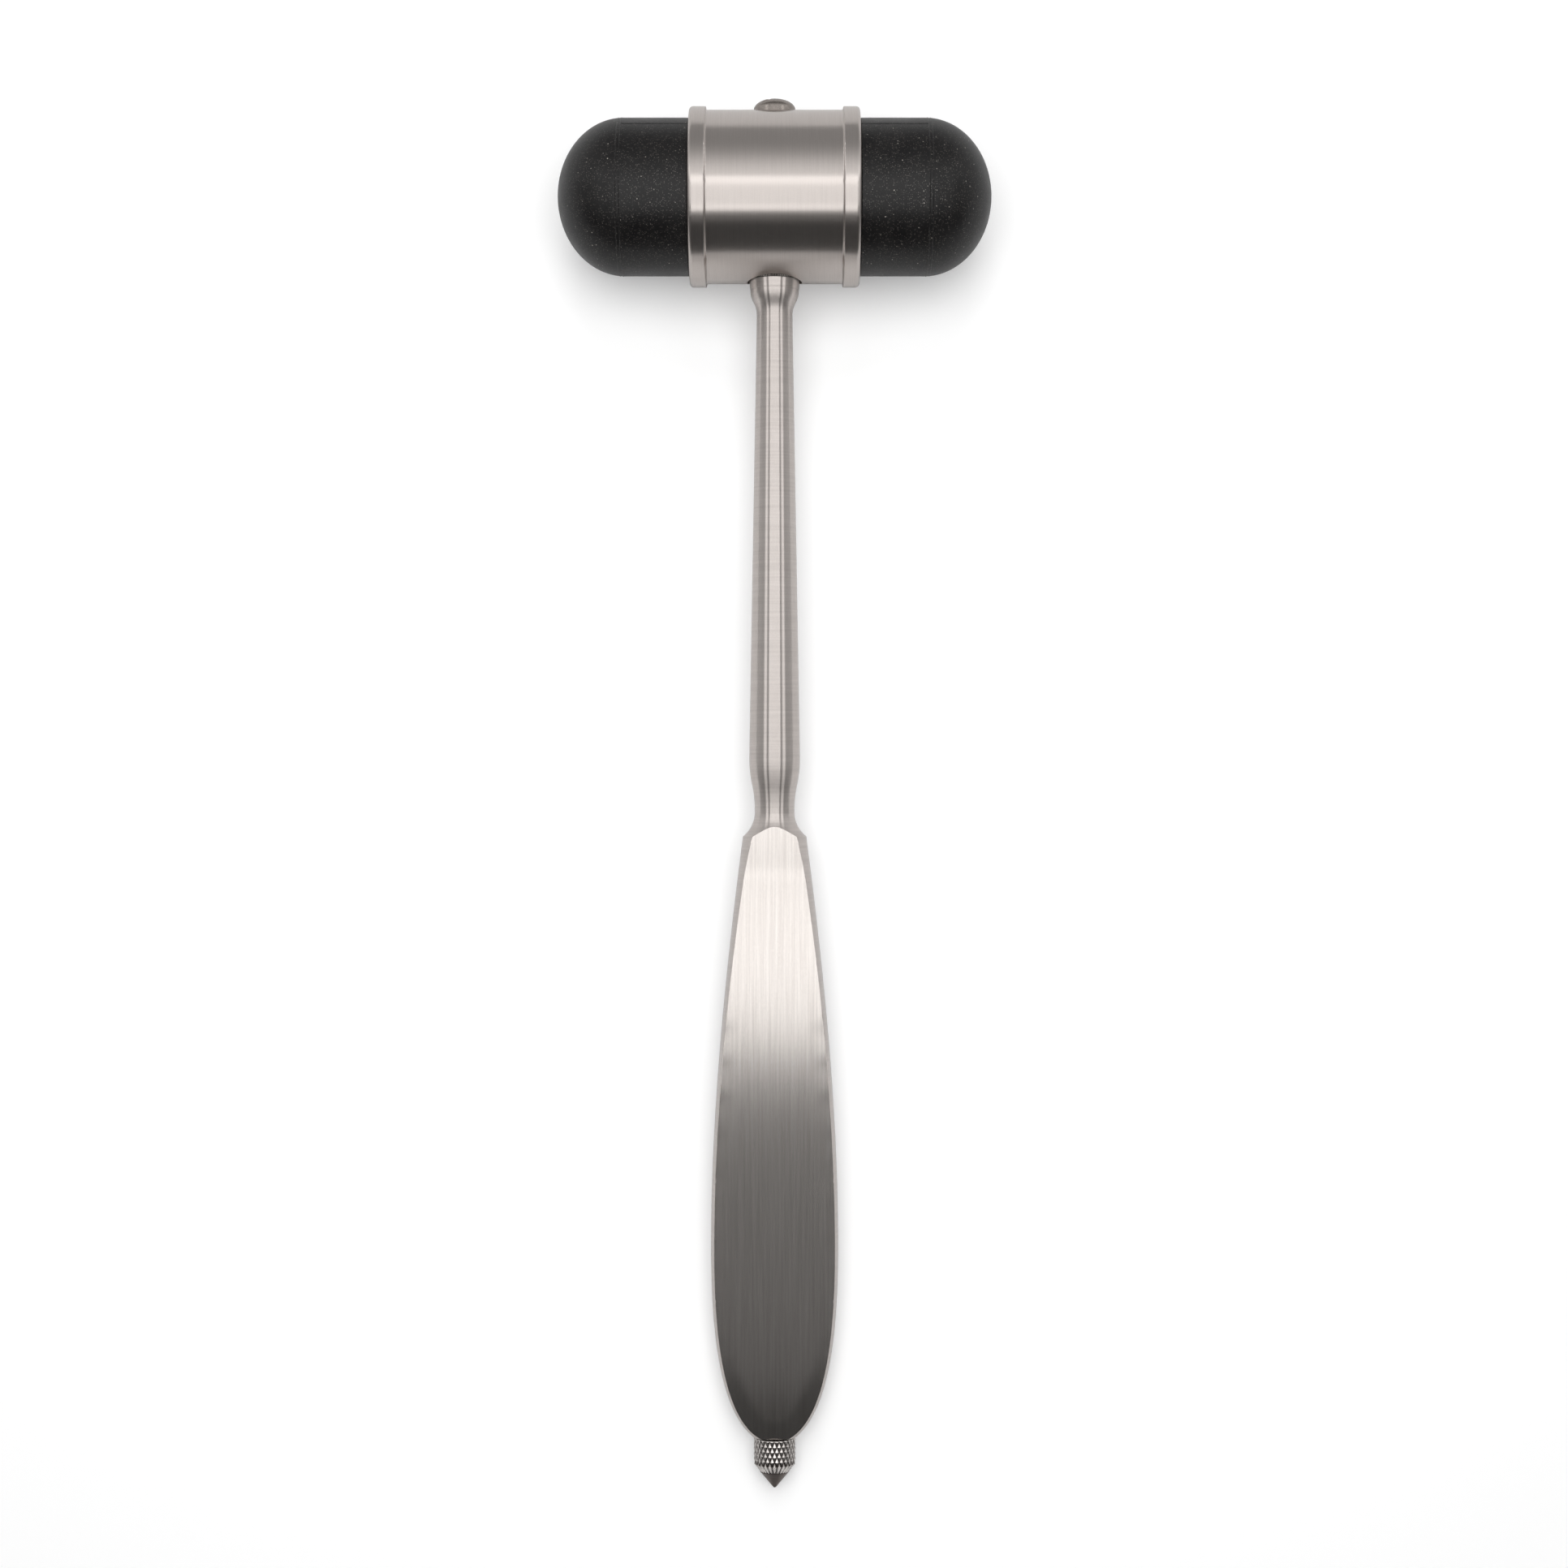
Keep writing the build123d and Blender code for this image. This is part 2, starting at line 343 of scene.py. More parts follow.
def noise(tree, place, size_mm, detail):
    """Noise whose features have that size in millimetres along X, Y and Z of the tool."""
    sized = add(tree, "Mapping", {}, {"Vector": place, "Scale": [1 / (mm * MM) for mm in size_mm]})
    made = add(tree, "TexNoise", {}, {"Vector": sized.outputs[0], "Scale": 1.0, "Detail": detail})
    return made.outputs[0]


def radius_from_axis(tree, place):
    """Distance from the handle's axis, and the place split into its X, Y and Z."""
    parts = add(tree, "SeparateXYZ", {}, {"Vector": place})
    flat_place = add(tree, "CombineXYZ", {}, {"X": parts.outputs[0], "Z": parts.outputs[2]})
    length = add(tree, "VectorMath", {"operation": "LENGTH"}, {0: flat_place.outputs[0]})
    return length.outputs["Value"], parts


def specks(tree, place, apart_mm, left_out, reach, strength):
    """Scattered round specks: their spacing, the share left out, their size in spacings, and strength."""
    cells = add(tree, "TexVoronoi", {}, {"Vector": place, "Scale": 1 / (apart_mm * MM), "Randomness": 1.0})
    chosen = add(tree, "SeparateXYZ", {}, {"Vector": cells.outputs["Color"]})
    often = add(tree, "MapRange", {}, {
        "Value": chosen.outputs[0], "From Min": left_out, "From Max": 1.0, "To Min": 0.0, "To Max": strength})
    grain = add(tree, "MapRange", {}, {
        "Value": cells.outputs["Distance"], "From Min": reach * 0.4, "From Max": reach, "To Min": 1.0,
        "To Max": 0.0})
    return add(tree, "Math", {"operation": "MULTIPLY"}, {0: grain.outputs[0], 1: often.outputs[0]}).outputs[0]


def scratched_steel(name, light, dark, scratch_mm, depth_mm, blur_across, blur_along, across=None):
    """Steel with scratches that run one way: they blur reflections more across themselves than along.

    The blurs are the shader's own spreads, so its roughness and its share between the two directions
    are worked out from them. A finish whose scratches are too shallow to feel has no relief."""
    material, tree, shader = new_material(name)
    place = in_tool_frame(tree)
    scratches = noise(tree, place, scratch_mm, 2.0)
    grit = noise(tree, place, (0.16, 0.16, 0.16), 1.0)
    faint_grit = add(tree, "Math", {"operation": "MULTIPLY"}, {0: grit, 1: 0.3})
    together = add(tree, "Math", {"operation": "MULTIPLY_ADD"}, {
        0: scratches, 1: 0.7, 2: faint_grit.outputs[0]}).outputs[0]
    share = add(tree, "MapRange", {}, {"Value": together, "From Min": noise_low, "From Max": noise_high})
    colour = add(tree, "Mix", {"data_type": "RGBA"}, {
        0: share.outputs[0], 6: linear(dark), 7: linear(light)})
    rough = (blur_across * blur_along) ** 0.25
    roughness = add(tree, "MapRange", {}, {
        "Value": share.outputs[0], "To Min": rough + 0.004, "To Max": rough - 0.004})
    plug_in(tree, shader, {
        "Base Color": colour.outputs[2],
        "Metallic": 1.0,
        "Roughness": roughness.outputs[0],
    })
    if depth_mm:
        relief = add(tree, "Bump", {}, {"Strength": 1.0, "Distance": depth_mm * MM, "Height": together})
        tree.links.new(relief.outputs[0], shader.inputs["Normal"])
    if across:
        direction = add(tree, "CombineXYZ", {}, dict(zip("XYZ", across)))
        plug_in(tree, shader, {
            "Anisotropic": (1 - blur_along / blur_across) / 0.9,
            "Tangent": direction.outputs[0],
        })
    return material


# ---------------------------------------------------------------- materials

def brushed_tube_steel():
    """Stainless steel 1.4301, brushed round on the lathe: fine lines run round the tube, so light is
    drawn out along it while the bands across it stay crisp."""
    # the brush's lines are about 0.03 mm wide; drawn 0.1 mm wide, as fine as shows
    return scratched_steel("stainless_brushed_round", "D9D1CC", "D0C8C3", (0.1, 6.0, 6.0), 0.00015,
                           0.15, 0.042, x_axis)


def turned_bar_steel():
    """Stainless steel bar as turned and lightly polished: faint rings round the shaft draw light out
    along it, so that its reflections are long stripes."""
    # a finishing cut leaves a ring each 0.1 mm; drawn 0.3 mm apart, as fine as shows
    return scratched_steel("stainless_turned", "E2DAD5", "D3CBC6", (8.0, 0.3, 8.0), 0.0,
                           0.26, 0.026, out_axis)


def ground_flat_steel():
    """Stainless steel ground on a belt: fine lines along the grip, which blur light from side to side."""
    # a 240 grit belt's lines are about 0.06 mm wide; drawn 0.3 mm wide, as fine as shows
    return scratched_steel("stainless_belt_ground", "E6E0DB", "D5CEC9", (0.3, 14.0, 14.0), 0.0,
                           0.16, 0.026, x_axis)


def satin_screw_steel_painted_shade():
    """Stainless screw, barrel-finished: an even satin grey with no direction, darker all over than the other
    steel as painted shade for the darker reflections it shows.
    """
    # the stones leave dents of about 0.1 mm; drawn 0.25 mm wide, as fine as shows
    # painted shade: the darker grey stands in for the darker reflections the screw shows
    return scratched_steel("stainless_barrel_finished_painted_shade", "ABA39D", "968E88", (0.25, 0.25, 0.25), 0.002,
                           0.06, 0.06)


def knurled_knob_steel():
    """Stainless steel with a rolled diamond knurl: rubbed bright on its points, and dark in its valleys with
    oxide and with painted shade, so that each diamond stands out."""
    material, tree, shader = new_material("stainless_knurled")
    place = in_tool_frame(tree)
    radius, parts = radius_from_axis(tree, place)
    # past the corner the blank shrinks at the cone's slope, and that is made up for
    corner, reach = knob_corner_out - 0.1, 10
    past_corner = add(tree, "MapRange", {}, {
        "Value": parts.outputs[1], "From Min": -(corner + reach) * MM, "From Max": -corner * MM,
        "To Min": knob_cone_slope * reach * MM, "To Max": 0.0})
    height = add(tree, "Math", {"operation": "ADD"}, {0: radius, 1: past_corner.outputs[0]})
    # painted shade: the valleys are coloured dark, partly oxide and partly the shade that falls in the
    # grooves; the worn points are bright
    worn_tops_shaded_valleys = add(tree, "MapRange", {}, {
        "Value": height.outputs[0], "From Min": (knob_r - 0.17) * MM, "From Max": (knob_r - 0.09) * MM})
    colour = add(tree, "Mix", {"data_type": "RGBA"}, {
        0: worn_tops_shaded_valleys.outputs[0], 6: linear("4E4743"), 7: linear("F2ECE8")})
    # the rolls' small dents, about 0.3 mm across
    roughness = add(tree, "MapRange", {}, {
        "Value": noise(tree, place, (0.3, 0.3, 0.3), 2.0),
        "From Min": noise_low, "From Max": noise_high, "To Min": 0.2, "To Max": 0.3})
    plug_in(tree, shader, {
        "Base Color": colour.outputs[2],
        "Metallic": 1.0,
        "Roughness": roughness.outputs[0],
    })
    return material


def point_steel_painted_shade():
    """The knob's point, of hardened steel and turned: a plain brownish grey, darker than the rest as painted
    shade that stands in for the dark surroundings it mirrors.
    """
    # the cut's rings, 0.15 mm apart
    return scratched_steel("steel_point_painted_shade", "8A817D", "7A726E", (3.0, 0.15, 3.0), 0.0006,
                           0.3, 0.05, out_axis)


def polished_pin_steel():
    """Hardened needle steel, polished: bright and clear."""
    # the polish leaves marks of a few hundredths; drawn 0.3 mm wide, as fine as shows
    return scratched_steel("needle_steel_polished", "DDD9D6", "D2CECB", (0.3, 2.0, 0.3), 0.0003,
                           0.015, 0.015)


def turned_spacer_steel():
    """Plain steel tube as cut from the bar, with coarse turning lines."""
    # the cut's rings, 0.2 mm apart
    return scratched_steel("steel_as_turned", "BDB6B0", "A39C96", (4.0, 0.2, 4.0), 0.001,
                           0.24, 0.1, out_axis)


def burnished_washer_steel():
    """Spring steel washer, blackened by heat treatment and rubbed bright on its teeth."""
    material, tree, shader = new_material("spring_steel_blackened")
    place = in_tool_frame(tree)
    radius = radius_from_axis(tree, place)[0]
    worn = add(tree, "MapRange", {}, {
        "Value": radius, "From Min": (washer_r - 0.08) * MM, "From Max": (washer_r - 0.01) * MM})
    colour = add(tree, "Mix", {"data_type": "RGBA"}, {
        0: worn.outputs[0], 6: linear("3B3735"), 7: linear("CFC8C2")})
    # the blacking's patches, about 0.3 mm across
    roughness = add(tree, "MapRange", {}, {
        "Value": noise(tree, place, (0.3, 0.3, 0.3), 2.0),
        "From Min": noise_low, "From Max": noise_high, "To Min": 0.26, "To Max": 0.44})
    plug_in(tree, shader, {
        "Base Color": colour.outputs[2],
        "Metallic": 1.0,
        "Roughness": roughness.outputs[0],
    })
    return material


def moulded_rubber():
    """Natural rubber with carbon black, moulded and dusted with talc: almost black with a soft sheen,
    pricked all over with fine pale specks."""
    material, tree, shader = new_material("rubber_moulded_black")
    place = in_tool_frame(tree)
    # the mould's uneven polish leaves clouds of about 3 mm, and its blasting pores of 0.2 mm
    clouds = noise(tree, place, (3.0, 3.0, 3.0), 2.0)
    pores = noise(tree, place, (0.2, 0.2, 0.2), 2.0)
    share = add(tree, "MapRange", {}, {"Value": clouds, "From Min": noise_low, "From Max": noise_high})
    # talc grains are about 0.05 mm; drawn up to 0.1 mm wide, as small as shows
    dust = specks(tree, place, 0.2, 0.3, 0.4, 0.5)
    grains = specks(tree, place, 0.6, 0.75, 0.17, 0.9)
    body = add(tree, "Mix", {"data_type": "RGBA"}, {
        0: share.outputs[0], 6: linear("0D0C0D"), 7: linear("151414")})
    dusted = add(tree, "Mix", {"data_type": "RGBA"}, {0: dust, 6: body.outputs[2], 7: linear("7E7974")})
    colour = add(tree, "Mix", {"data_type": "RGBA"}, {0: grains, 6: dusted.outputs[2], 7: linear("B8B2AA")})
    roughness = add(tree, "MapRange", {}, {"Value": share.outputs[0], "To Min": 0.33, "To Max": 0.4})
    relief = add(tree, "Bump", {}, {"Strength": 1.0, "Distance": 0.004 * MM, "Height": pores})
    plug_in(tree, shader, {
        "Base Color": colour.outputs[2],
        "Roughness": roughness.outputs[0],
        "IOR": 1.42,
        "Normal": relief.outputs[0],
    })
    return material


def floor_paper():
    """White card that stays white to the eye and keeps the object's shadow."""
    material, tree, shader = new_material("white_card")
    path = add(tree, "LightPath", {}, {})
    # metal mirrors the card as the greyer floor of a large room
    paper = add(tree, "Mix", {"data_type": "RGBA"}, {
        0: path.outputs["Is Glossy Ray"], 6: linear("E8E8E8"), 7: linear("CACACA")})
    plug_in(tree, shader, {"Base Color": paper.outputs[2], "Roughness": 1.0, "Specular IOR Level": 0.0})
    lift = add(tree, "Math", {"operation": "MULTIPLY"}, {0: path.outputs["Is Camera Ray"], 1: floor_lift})
    glow = add(tree, "Emission", {}, {"Color": linear("FFFFFF"), "Strength": lift.outputs[0]})
    both = add(tree, "AddShader", {}, {0: shader.outputs[0], 1: glow.outputs[0]})
    tree.links.new(both.outputs[0], tree.nodes["Material Output"].inputs[0])
    return material


# ---------------------------------------------------------------- bumpers

def dome_radius(x):
    """Radius of the bumper at x along the head; the dome is half an ellipse."""
    along = max(0.0, x - dome_start_x) / (bumper_end_x - dome_start_x)
    return bumper_r * math.sqrt(max(0.0, 1 - along ** 2))


def bumper_stations():
    """The bumper's outline from its plug to the end of its dome, with the mould's two fine flash rings."""
    rim_x = sleeve_end_x + bumper_seat_gap
    stations = [(plug_end_x, pole_r), (plug_end_x, plug_r - plug_chamfer)]
    stations += [(plug_end_x + plug_chamfer, plug_r), (sleeve_end_x, plug_r), (rim_x, bumper_r - bumper_edge)]
    stations += [(rim_x + bumper_edge, bumper_r), ((sleeve_end_x + dome_start_x) / 2, bumper_r)]
    for ring in flash_ring_x:
        for x, proud in ((ring - flash_half_width, 0), (ring, flash_height), (ring + flash_half_width, 0)):
            stations.append((x, dome_radius(x) + proud))
    dome_length = bumper_end_x - dome_start_x
    first = math.asin((flash_ring_x[1] + 0.3 - dome_start_x) / dome_length)
    for step in range(dome_steps):
        angle = first + (math.pi / 2 - first) * step / dome_steps
        stations.append((dome_start_x + dome_length * math.sin(angle), bumper_r * math.cos(angle)))
    stations.append((bumper_end_x, pole_r))
    return stations


def raise_parting_line(piece, degrees):
    """A raised hair along the straight part of the bumper, where the halves of its mould met."""
    def off_line(co):
        turn = math.degrees(math.atan2(co.z, co.x)) - degrees
        return abs((turn + 90) % 180 - 90)

    def straight(co, margin):
        return sleeve_end_x + 0.1 - margin < -co.y / MM < flash_ring_x[0] + margin

    work_on(piece)
    pick(piece, "EDGE", lambda e: all(off_line(v.co) < 0.5 and straight(v.co, 0) for v in e.verts))
    bpy.ops.mesh.bevel(offset=seam_half_width * MM, segments=2, affect="EDGES")
    pick(piece, "VERT", lambda v: off_line(v.co) < 0.1 and straight(v.co, -0.02)
         and math.hypot(v.co.x, v.co.z) > (bumper_r - 0.1) * MM)
    bpy.ops.transform.shrink_fatten(value=flash_height * MM)
    bpy.ops.object.mode_set(mode="OBJECT")


def bumper(name, node, side, rubber):
    """Moulded bumper; side is -1 for the left one and 1 for the right one."""
    piece = turned(name, bumper_stations(), bumper_sides)
    piece.data.materials.append(rubber)
    raise_parting_line(piece, side * seam_angle)
    pick_nothing()
    bpy.ops.mesh.primitive_cylinder_add(
        vertices=48, radius=core_groove_r * MM, depth=3 * bumper_r * MM, rotation=(0, math.pi / 2, 0))
    groove = bpy.context.object
    groove.data.materials.append(rubber)
    cut_away(piece, groove)
    smooth(piece, bumper_crease)
    lay_in_place(piece, Matrix.Rotation(side * math.pi / 2, 4, "Z"))
    stand_for(piece, "hammer", node)


# ---------------------------------------------------------------- knurled knob

def knob_radius(station):
    """Radius of the knob's blank: cylinder, rounded corner and cone."""
    half_corner = knob_corner_rounding * math.tan(math.atan(knob_cone_slope) / 2)
    cone_r = knob_r - (station - knob_corner_out) * knob_cone_slope
    corner_start = knob_corner_out - half_corner
    corner_end = knob_corner_out + half_corner * math.cos(math.atan(knob_cone_slope))
    if station <= corner_start:
        return knob_r
    if station >= corner_end:
        return cone_r
    centre_r = knob_r - knob_corner_rounding
    return centre_r + math.sqrt(knob_corner_rounding ** 2 - (station - corner_start) ** 2)


def azimuth(v):
    """Angle of a vertex round the handle's axis."""
    return math.atan2(v.co.x, v.co.z)


def in_knurl(element):
    """True for an edge or face that lies on the knurled part of the knob."""
    return all(knurl_first_out - 0.01 < -v.co.y / MM < knurl_last_out + 0.01
               and math.hypot(v.co.x, v.co.z) > stud_r * MM for v in element.verts)


def roll_diamonds(piece):
    """Presses the valleys of a diamond knurl into the rows of the blank, and splits its faces along them."""
    def in_valley(v):
        rows = [row for row, station in enumerate(knurl_row_outs) if abs(v.co.y + station * MM) < 0.04 * MM]
        column = round(azimuth(v) / (math.pi / knurl_teeth))
        return bool(rows) and (rows[0] + column) % 2 == 0 and math.hypot(v.co.x, v.co.z) > stud_r * MM

    work_on(piece)
    pick(piece, "VERT", in_valley)
    press = 1 - knurl_depth / knob_r
    bpy.ops.transform.resize(value=(press, 1, press), center_override=(0, 0, 0))
    pick(piece, "FACE", in_knurl)
    bpy.ops.mesh.quads_convert_to_tris(quad_method="SHORTEST_DIAGONAL")
    bpy.ops.object.mode_set(mode="OBJECT")


def stud_thread():
    """The ridge of the stud's thread: a small triangle driven up the stud as a screw."""
    pick_nothing()
    bpy.ops.mesh.primitive_circle_add(
        vertices=3, radius=thread_ridge_r * MM, rotation=(0, 0, -math.pi / 2),
        location=((stud_r - thread_ridge_r) * MM, -(stud_end_out + thread_start) * MM, 0))
    ridge = bpy.context.object
    bpy.ops.object.transform_apply(location=True, rotation=True, scale=True)
    drive = ridge.modifiers.new("drive", "SCREW")
    drive.axis = "Y"
    drive.angle = 2 * math.pi
    drive.screw_offset = -thread_pitch * MM
    drive.iterations = thread_turns
    drive.steps = 40
    bpy.ops.object.modifier_apply(modifier="drive")
    work_on(ridge)
    bpy.ops.mesh.select_all(action="SELECT")
    bpy.ops.mesh.fill_holes(sides=3)
    bpy.ops.mesh.normals_make_consistent(inside=False)
    bpy.ops.object.mode_set(mode="OBJECT")
    return ridge


def knob(steel, shaded_point_steel):
    """Knurled knob with its pointed end, and the threaded stud that holds the needle."""
    stations = [(pin_hold_out, pole_r), (pin_hold_out, pin_hold_r), (stud_end_out, pin_hold_r)]
    stations += [(stud_end_out, stud_root_r - stud_chamfer), (stud_end_out + stud_chamfer, stud_root_r)]
    stations += [(knob_face_out, stud_root_r), (knob_face_out, knob_r - knob_face_edge)]
    blank_outs = (*knurl_row_outs, knurl_last_out + knurl_end_edge, *point_outs, knob_tip_out - knob_tip_edge)
    stations += [(station, knob_radius(station)) for station in blank_outs]
    stations.append((knob_tip_out, pole_r))
    piece = turned("knurled_knob", stations, 2 * knurl_teeth)
    roll_diamonds(piece)
    ridge = stud_thread()
    pick_nothing()
    ridge.select_set(True)
    piece.select_set(True)
    bpy.context.view_layer.objects.active = piece
    bpy.ops.object.join()
    piece.data.materials.append(steel)
    piece.data.materials.append(shaded_point_steel)
    smooth(piece, knob_crease)
    work_on(piece)
    pick(piece, "EDGE", lambda e: in_knurl(e) and abs(azimuth(e.verts[0]) - azimuth(e.verts[1])) < 0.01)
    bpy.ops.mesh.mark_sharp(clear=True)
    # the point's faces take the darker steel, whose colour is painted shade
    pick(piece, "FACE", lambda f: all(-v.co.y > (knurl_last_out - 0.01) * MM for v in f.verts))
    piece.active_material_index = 1
    bpy.ops.object.material_slot_assign()
    bpy.ops.object.mode_set(mode="OBJECT")
    lay_in_place(piece)
    stand_for(piece, "knob", "needle_knob")


# ---------------------------------------------------------------- handle

def curve_stations(corners, steps):
    """Stations along a smooth curve given by its two ends and the two points that pull it."""
    points = [Vector((station, radius, 0)) for station, radius in corners]
    return [(p.x, p.y) for p in interpolate_bezier(*points, steps + 1)[1:]]


def eased(start, end, steps):
    """Stations between two diameters that leave and arrive along the axis."""
    half_way = (start[0] + end[0]) / 2
    return curve_stations([start, (half_way, start[1]), (half_way, end[1]), end], steps)


def handle_stations():
    """The handle's outline, from the bottom of the screw hole in its spigot round to its needle bore."""
    stations = [(screw_hole_out, pole_r), (screw_hole_out, screw_hole_r), (spigot_end_out, screw_hole_r)]
    flare_start = (band_end_out + band_step, band_r - band_step)
    stations += [(spigot_end_out, spigot_r - spigot_chamfer), (spigot_end_out + spigot_chamfer, spigot_r)]
    stations += [(collar_out, spigot_r), (collar_out, collar_r - collar_edge)]
    stations += [(collar_out + collar_edge, collar_r), (band_end_out, band_r), flare_start]
    stations += eased(flare_start, (shaft_start_out, shaft_start_r), 14)
    shaft_steps = 12
    for step in range(1, shaft_steps + 1):
        share = step / shaft_steps
        stations.append((shaft_start_out + (shaft_end_out - shaft_start_out) * share,
                         shaft_start_r + (shaft_end_r - shaft_start_r) * share))
    stations += eased((shaft_end_out, shaft_end_r), (neck_out, neck_r), 14)
    # from the neck an arc rises to the grip's shoulder, which two curves carry out to the swell and round
    # to the knob; the middle points of each curve set how full it is
    reach, rise = grip_start_out - neck_out, grip_start_r - neck_r
    arc_r = (reach ** 2 + rise ** 2) / (2 * rise)
    for step in range(1, 13):
        along = reach * step / 12
        stations.append((neck_out + along, neck_r + arc_r - math.sqrt(arc_r ** 2 - along ** 2)))
    stations += curve_stations([(grip_start_out, grip_start_r), (grip_start_out + 22, grip_start_r + 2.86),
                                (grip_widest_out - 18, grip_r), (grip_widest_out, grip_r)], 40)
    stations += curve_stations([(grip_widest_out, grip_r), (grip_widest_out + 14, grip_r),
                                (grip_end_out - 3.5, grip_end_r + 4.445), (grip_end_out, grip_end_r)], 40)
    stations += [(grip_end_out, stud_bore_r), (stud_bore_out, stud_bore_r), (stud_bore_out, pin_bore_r)]
    stations += [(pin_bore_out, pin_bore_r), (pin_bore_out, pole_r)]
    return stations


def belt_height(station):
    """Height of the grinding belt above the axis: flat, lifting off at the neck and dipping at the knob."""
    if station < flat_start_out:
        along = flat_start_out - station
        return flat_height + flat_runout_rise * (math.hypot(along, flat_runout_ease) - flat_runout_ease)
    share = max(0.0, station - end_roll_start_out) / (grip_end_out - end_roll_start_out)
    return flat_height - end_roll_drop * min(share, 1.0) ** 2


def belt(ground_steel, turn):
    """What the grinding belt takes off above one flat: a grid laid along the belt's path, and thickened."""
    pick_nothing()
    first, last = flat_start_out - flat_runout_length, grip_end_out + belt_overrun
    bpy.ops.mesh.primitive_grid_add(
        x_subdivisions=belt_columns, y_subdivisions=belt_rows, size=MM,
        location=(0, -(first + last) / 2 * MM, 0))
    tool = bpy.context.object
    tool.scale = (belt_width, last - first, 1)
    bpy.ops.object.transform_apply(location=True, rotation=True, scale=True)
    work_on(tool)
    for row in range(belt_rows + 1):
        station = first + (last - first) * row / belt_rows
        pick(tool, "VERT", lambda v: abs(v.co.y + station * MM) < 0.1 * MM)
        bpy.ops.transform.translate(value=(0, 0, belt_height(station) * MM))
    bpy.ops.mesh.select_all(action="SELECT")
    bpy.ops.mesh.extrude_region_move(TRANSFORM_OT_translate={"value": (0, 0, grip_r * MM)})
    bpy.ops.mesh.select_all(action="SELECT")
    bpy.ops.mesh.normals_make_consistent(inside=False)
    bpy.ops.object.mode_set(mode="OBJECT")
    tool.matrix_world = Matrix.Rotation(turn, 4, "Y")
    bpy.ops.object.transform_apply(location=True, rotation=True, scale=True)
    tool.data.materials.append(ground_steel)
    return tool


def is_rim(edge):
    """True for an edge between a ground face and a turned one."""
    return len(edge.link_faces) == 2 and len({f.material_index for f in edge.link_faces}) == 2


def soften_flats(piece):
    """The belt rolls over slightly towards the outline, the more so towards the knob; the rim is broken.

    The bores are hidden while the rim is rolled, so that they stay round."""
    work_on(piece)
    pick(piece, "VERT", lambda v: any(f.material_index == 1 for f in v.link_faces))
    bpy.ops.mesh.remove_doubles(threshold=merge_reach * MM)
    pick(piece, "VERT", lambda v: math.hypot(v.co.x, v.co.z) < (stud_bore_r + 0.05) * MM)
    bpy.ops.mesh.hide()
    for side in (1, -1):
        for start_out in crown_starts_out:
            pick(piece, "VERT", lambda v: v.co.z * side > 0 and -v.co.y > start_out * MM
                 and any(is_rim(e) for e in v.link_edges))
            bpy.ops.transform.translate(
                value=(0, 0, -crown_drop * side / len(crown_starts_out) * MM), use_proportional_edit=True,
                proportional_edit_falloff="SMOOTH", proportional_size=crown_width * MM)
    bpy.ops.mesh.reveal(select=False)
    pick(piece, "EDGE", lambda e: is_rim(e) and all(-v.co.y > flat_corner_out * MM for v in e.verts))
    bpy.ops.mesh.bevel(offset=edge_break * MM, segments=2, affect="EDGES", clamp_overlap=False)
    bpy.ops.mesh.select_mode(type="FACE")
    bpy.ops.mesh.region_to_loop()
    bpy.ops.mesh.mark_sharp()
    pick(piece, "EDGE", is_rim)
    bpy.ops.mesh.mark_sharp()
    bpy.ops.object.mode_set(mode="OBJECT")


def handle(turned_steel, ground_steel):
    """One bar, turned all over, with two flats ground on its grip."""
    piece = turned("turned_handle", handle_stations(), handle_sides)
    piece.data.materials.append(turned_steel)
    for turn in (0, math.pi):
        cut_away(piece, belt(ground_steel, turn))
    soften_flats(piece)
    smooth(piece, handle_crease)
    work_on(piece)
    for station in (band_end_out, band_end_out + band_step):
        ring_at(piece, station)
        bpy.ops.mesh.mark_sharp()
    bpy.ops.object.mode_set(mode="OBJECT")
    lay_in_place(piece)
    stand_for(piece, "hammer", "handle")


# ---------------------------------------------------------------- washer

def washer(steel):
    """Lock washer with a finely serrated rim, between the collar and the sleeve."""
    ends = (washer_floor_out, washer_floor_out + washer_thickness)
    edge_r = washer_r - washer_edge
    stations = [(ends[0], washer_hole_r), (ends[0], edge_r), (ends[0] + washer_edge, washer_r)]
    stations += [(ends[1] - washer_edge, washer_r), (ends[1], edge_r), (ends[1], washer_hole_r)]
    piece = turned("serrated_washer", stations + stations[:1], 2 * washer_teeth)
    work_on(piece)
    pick(piece, "VERT", lambda v: round(azimuth(v) / (math.pi / washer_teeth)) % 2 == 0
         and math.hypot(v.co.x, v.co.z) > (washer_r - washer_tooth_depth) * MM)
    press = 1 - washer_tooth_depth / washer_r
    bpy.ops.transform.resize(value=(press, 1, press), center_override=(0, 0, 0))
    bpy.ops.object.mode_set(mode="OBJECT")
    piece.data.materials.append(steel)
    smooth(piece, washer_crease)
    lay_in_place(piece)
    stand_for(piece, "hammer", "lock_washer")


# ---------------------------------------------------------------- head screw

